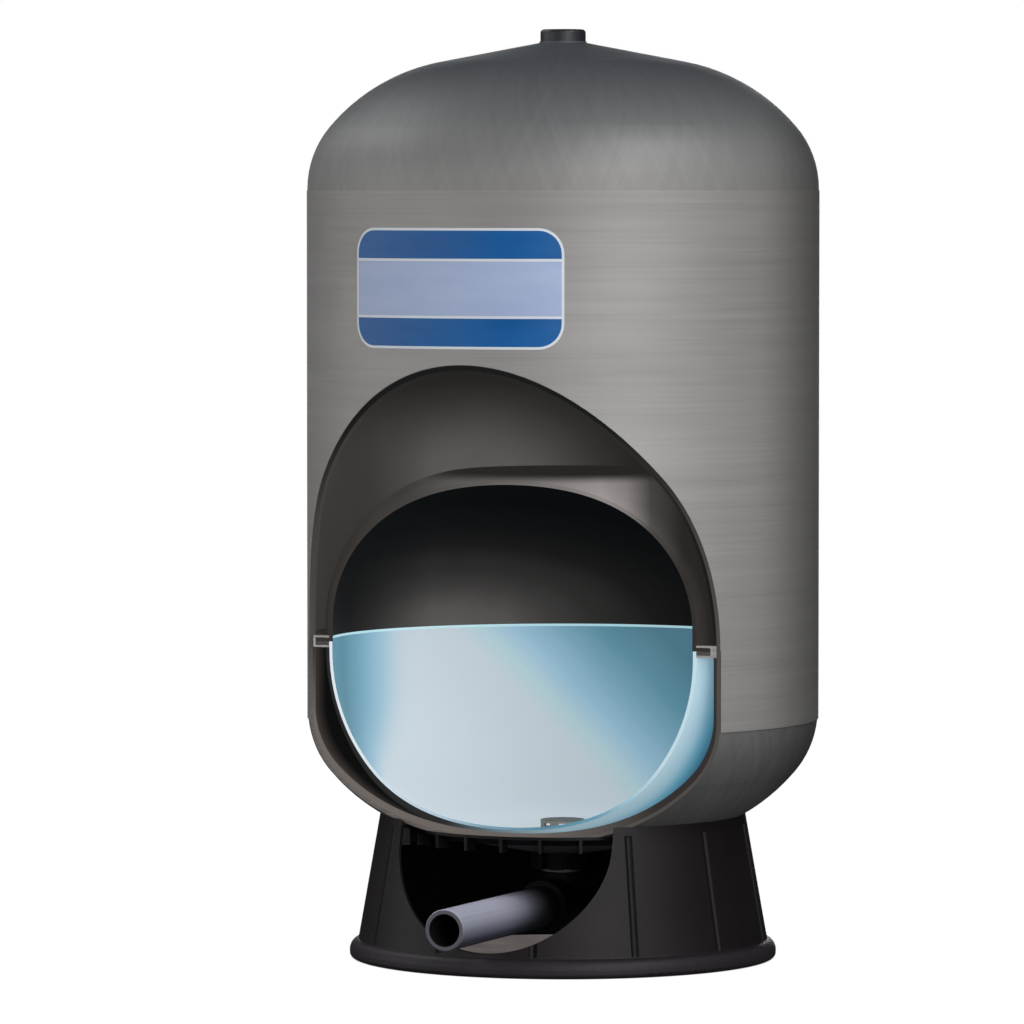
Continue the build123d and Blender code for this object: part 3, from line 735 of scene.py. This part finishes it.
def coil(corners, section_radius, mean_radius, pitch, turns, low, steps):
    """A bmesh that climbs around the axis from low; one corner of its section points outward."""
    wound = bmesh.new()
    bmesh.ops.create_circle(wound, cap_ends=True, segments=corners, radius=section_radius)
    for axis, angle in (("Z", -pi / 2), ("X", pi / 2)):
        bmesh.ops.rotate(wound, verts=wound.verts, matrix=Matrix.Rotation(angle, 3, axis))
    bmesh.ops.translate(wound, verts=wound.verts, vec=(mean_radius, 0, low))
    climb = Vector((0, 0, pitch / steps))
    bmesh.ops.spin(wound, geom=wound.faces[:], axis=(0, 0, 1), cent=(0, 0, 0), dvec=climb,
                   angle=2 * pi * turns, steps=int(steps * turns))
    bmesh.ops.recalc_face_normals(wound, faces=wound.faces)
    return wound


def screw_thread(name, root, height, pitch, turns, low, steps, material):
    """Ridge of triangular section, its crest outward, on a cylinder of radius root."""
    ridge = coil(3, height * 2 / 3, root + height / 3, pitch, turns, low, steps)
    return piece(name, ridge, "tank", [material], smooth=False)


screw_thread("stem_thread", STEM_ROOT, height=0.00022, pitch=0.0008, turns=6,
             low=STEM_TOP - 0.0062, steps=36, material=valve_brass)
screw_thread("spigot_thread", SPIGOT_ROOT, height=0.00024, pitch=0.0013, turns=3,
             low=NECK_TOP + 0.0034, steps=72, material=boss_plastic)

# %% [markdown]
# The valve's spring is a coil made the same way, from a round section. It takes the place of the
# stiff coil of the engineering model. A spring gets shorter when the pin is pressed, its lower end
# on its seat and its upper end following the pin's collar, but here the coil rides on the tank and
# is not made to follow the pin.

# %% Valve spring
WIRE = 0.0004
SPRING_TURNS = 6

spring_low, spring_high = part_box("valve_spring")
spring_length = spring_high.z - spring_low.z
wire_coil = coil(12, WIRE / 2, spring_high.x - WIRE / 2, (spring_length - WIRE) / SPRING_TURNS,
                 SPRING_TURNS, spring_low.z + WIRE / 2, 36)
spring = piece("spring_coil", wire_coil, "tank", [spring_steel])
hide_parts("valve_spring")
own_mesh(spring)

# %% [markdown]
# The label is a sticker on the hoop winding, a little left of the camera's middle. It is blank: a
# blue field, a pale band and a white edge. Its inks are printed, so each colour is a little uneven.

# %% Label inks
BLUE, PALE, WHITE = 0, 1, 2


def label_colour(name, dark, light):
    """A printed ink, slightly uneven in tone and gloss."""
    material, tree, shader = finish_of(name, 0.45, specular=0.4)
    ink = grain(tree, place_of(tree)[0], (9.0, 9.0, 40.0))
    tree.links.new(two_tone(tree, ink, dark, light), shader.inputs["Base Color"])
    uneven_gloss(tree, shader, ink, 0.40, 0.50)
    return material


label_inks = [
    label_colour("label_blue", (0, 92, 164), (8, 106, 180)),
    label_colour("label_pale", (176, 194, 232), (190, 206, 240)),
    label_colour("label_white", (232, 240, 250), (242, 247, 253)),
]
print("label inks made:", len(label_inks))

# %% [markdown]
# The sticker starts as one flat rectangle: its corners are rounded with a vertex bevel, an inset
# makes the white border, and cuts across make the pale band. More cuts, all upright, let it bend
# round the cylinder. Bending is then one sum per point: the way along the sticker becomes an angle.

# %% Label sticker
LABEL_WIDTH, LABEL_HEIGHT, LABEL_CORNER = 0.242, 0.122, 0.026
BAND_HALF = 0.0275
BORDER = 0.0026
LABEL_LEVEL = 0.7008
LABEL_TURN = radians(-3.2)
LABEL_THICKNESS = 0.00025
LABEL_CUTS = 48
TANK_RADIUS = 0.2667


def slice_sheet(mesh, point, normal):
    """Cuts every face that the plane crosses."""
    everything = mesh.verts[:] + mesh.edges[:] + mesh.faces[:]
    bmesh.ops.bisect_plane(mesh, geom=everything, dist=1e-7, plane_co=point, plane_no=normal)


sheet = bmesh.new()
bmesh.ops.create_grid(sheet, x_segments=1, y_segments=1, size=0.5)
bmesh.ops.scale(sheet, vec=(LABEL_WIDTH, LABEL_HEIGHT, 1), verts=sheet.verts)
bmesh.ops.bevel(sheet, geom=sheet.verts[:], offset=LABEL_CORNER, offset_type="OFFSET", segments=8,
                affect="VERTICES", profile=0.5, material=-1)
border = bmesh.ops.inset_region(sheet, faces=sheet.faces[:], thickness=BORDER, use_boundary=True,
                                use_even_offset=True)
for face in border["faces"]:
    face.material_index = WHITE
for height in (-BAND_HALF - BORDER, -BAND_HALF, BAND_HALF, BAND_HALF + BORDER):
    slice_sheet(sheet, (0, height, 0), (0, 1, 0))
for step in range(1, LABEL_CUTS):
    slice_sheet(sheet, (LABEL_WIDTH * (step / LABEL_CUTS - 0.5), 0, 0), (1, 0, 0))
for face in sheet.faces:
    across = abs(face.calc_center_median().y)
    if face.material_index == BLUE and across < BAND_HALF:
        face.material_index = PALE
    elif face.material_index == BLUE and across < BAND_HALF + BORDER:
        face.material_index = WHITE
for vert in sheet.verts:
    turn = LABEL_TURN + vert.co.x / TANK_RADIUS
    out = TANK_RADIUS + LABEL_THICKNESS
    vert.co = (out * sin(turn), -out * cos(turn), LABEL_LEVEL + vert.co.y)
bmesh.ops.recalc_face_normals(sheet, faces=sheet.faces)
if sheet.faces[:][0].normal.y > 0:
    bmesh.ops.reverse_faces(sheet, faces=sheet.faces[:])
bmesh.ops.solidify(sheet, geom=sheet.faces[:], thickness=LABEL_THICKNESS * 0.8)
piece("label_sticker", sheet, "tank", label_inks, smooth=False)

# %% [markdown]
# The floor is a large pale disc. In the picture the floor and the wall behind it are one clean
# white, so the disc glows white in the open. Below the skirt it is painted a dim brown-grey, a
# painted shadow that glows faintly, as seen through the notch. The glow is left out of the
# reflections and the bounced light.

# %% Floor
FLOOR_RADIUS = 30.0
UNDER_SKIRT, OPEN_FLOOR = 0.2155, 0.2225

disc = bmesh.new()
bmesh.ops.create_circle(disc, cap_ends=True, segments=96, radius=FLOOR_RADIUS)
floor_data = bpy.data.meshes.new("floor")
disc.to_mesh(floor_data)
disc.free()
floor = bpy.data.objects.new("floor", floor_data)
bpy.context.scene.collection.objects.link(floor)
floor.location = (0, 0, -0.00005)
floor.visible_diffuse = False
floor.visible_glossy = False

floor_paint, tree, shader = finish_of("floor_paint", 0.9, specular=0.0)
where = place_of(tree)[0]
shader.inputs["Base Color"].default_value = paint(60, 56, 54)
open_floor = span(tree, length_of(tree, where), UNDER_SKIRT, OPEN_FLOOR, smooth=True)
# painted shadow under the skirt, a dim brown-grey that glows faintly
shadow_grain = grain(tree, where, (20.0, 20.0, 20.0))
under_skirt_painted_shadow = two_tone(tree, shadow_grain, (84, 78, 76), (100, 94, 92))
glow(tree, shader, blend(tree, open_floor, under_skirt_painted_shadow, WHITE_LIGHT), 1.0)
floor_data.materials.append(floor_paint)
print("floor made")

# %% [markdown]
# The same white fills the sky, but only for the camera: for the light it is a dim grey, so that
# the soft boxes shape the outside of the tank. The inside of the window shows mostly its own glow.

# %% Sky
DIM_SKY = (0.02, 0.021, 0.022, 1.0)

sky = bpy.data.worlds.new("sky")
bpy.context.scene.world = sky
sky.use_nodes = True
tree = sky.node_tree
tree.nodes.clear()
seen = add(tree, "ShaderNodeLightPath").outputs["Is Camera Ray"]
background = {"Color": blend(tree, seen, DIM_SKY, WHITE_LIGHT), "Strength": 1.0}
backdrop = add(tree, "ShaderNodeBackground", background)
add(tree, "ShaderNodeOutputWorld", {"Surface": backdrop.outputs[0]})
print("sky made")

# %% [markdown]
# The tank stands in a half circle of soft boxes, all level with it. The one to the right of the
# camera is the strongest and makes the broad pale band on the hoop winding, and the far right has
# the weakest, so the cylinder falls off to dark there. Four higher boxes pick out the shoulders of
# the dome. One more, behind the tank, is not seen from the front: it keeps the back readable.

# %% Lights
ROW_POWERS = {-75: 19, -50: 15, -25: 15, 25: 16, 50: 39, 75: 10, 200: 35}
HIGH_LAMPS = ((-112, 30, 4), (-90, 45, 24), (70, 45, 35), (40, 30, 18))
LAMP_AIM = Vector((0, 0, 0.5))


def softbox(name, azimuth, elevation, distance, width, height, power):
    """A rectangular area lamp that faces the middle of the tank."""
    turn, lift = radians(azimuth), radians(elevation)
    outward = Vector((sin(turn) * cos(lift), -cos(turn) * cos(lift), sin(lift)))
    lamp = bpy.data.lights.new(name, "AREA")
    lamp.shape = "RECTANGLE"
    lamp.size, lamp.size_y = width, height
    lamp.energy = power
    made = bpy.data.objects.new(name, lamp)
    made.location = LAMP_AIM + outward * distance
    made.rotation_euler = (-outward).to_track_quat("-Z", "Y").to_euler()
    bpy.context.scene.collection.objects.link(made)


for azimuth, power in ROW_POWERS.items():
    softbox(f"row_{azimuth % 360}", azimuth, 5, 4.0, 1.6, 2.0, power)
for azimuth, lift, power in HIGH_LAMPS:
    softbox(f"high_{azimuth % 360}", azimuth, lift, 3.5, 1.2, 1.2, power)
view = bpy.context.scene.view_settings
view.view_transform = "Standard"
view.look = "None"
print("lights made:", len(ROW_POWERS) + len(HIGH_LAMPS))

# %% [markdown]
# Last, the script prints that it is done.

# %% End
print("scene done")
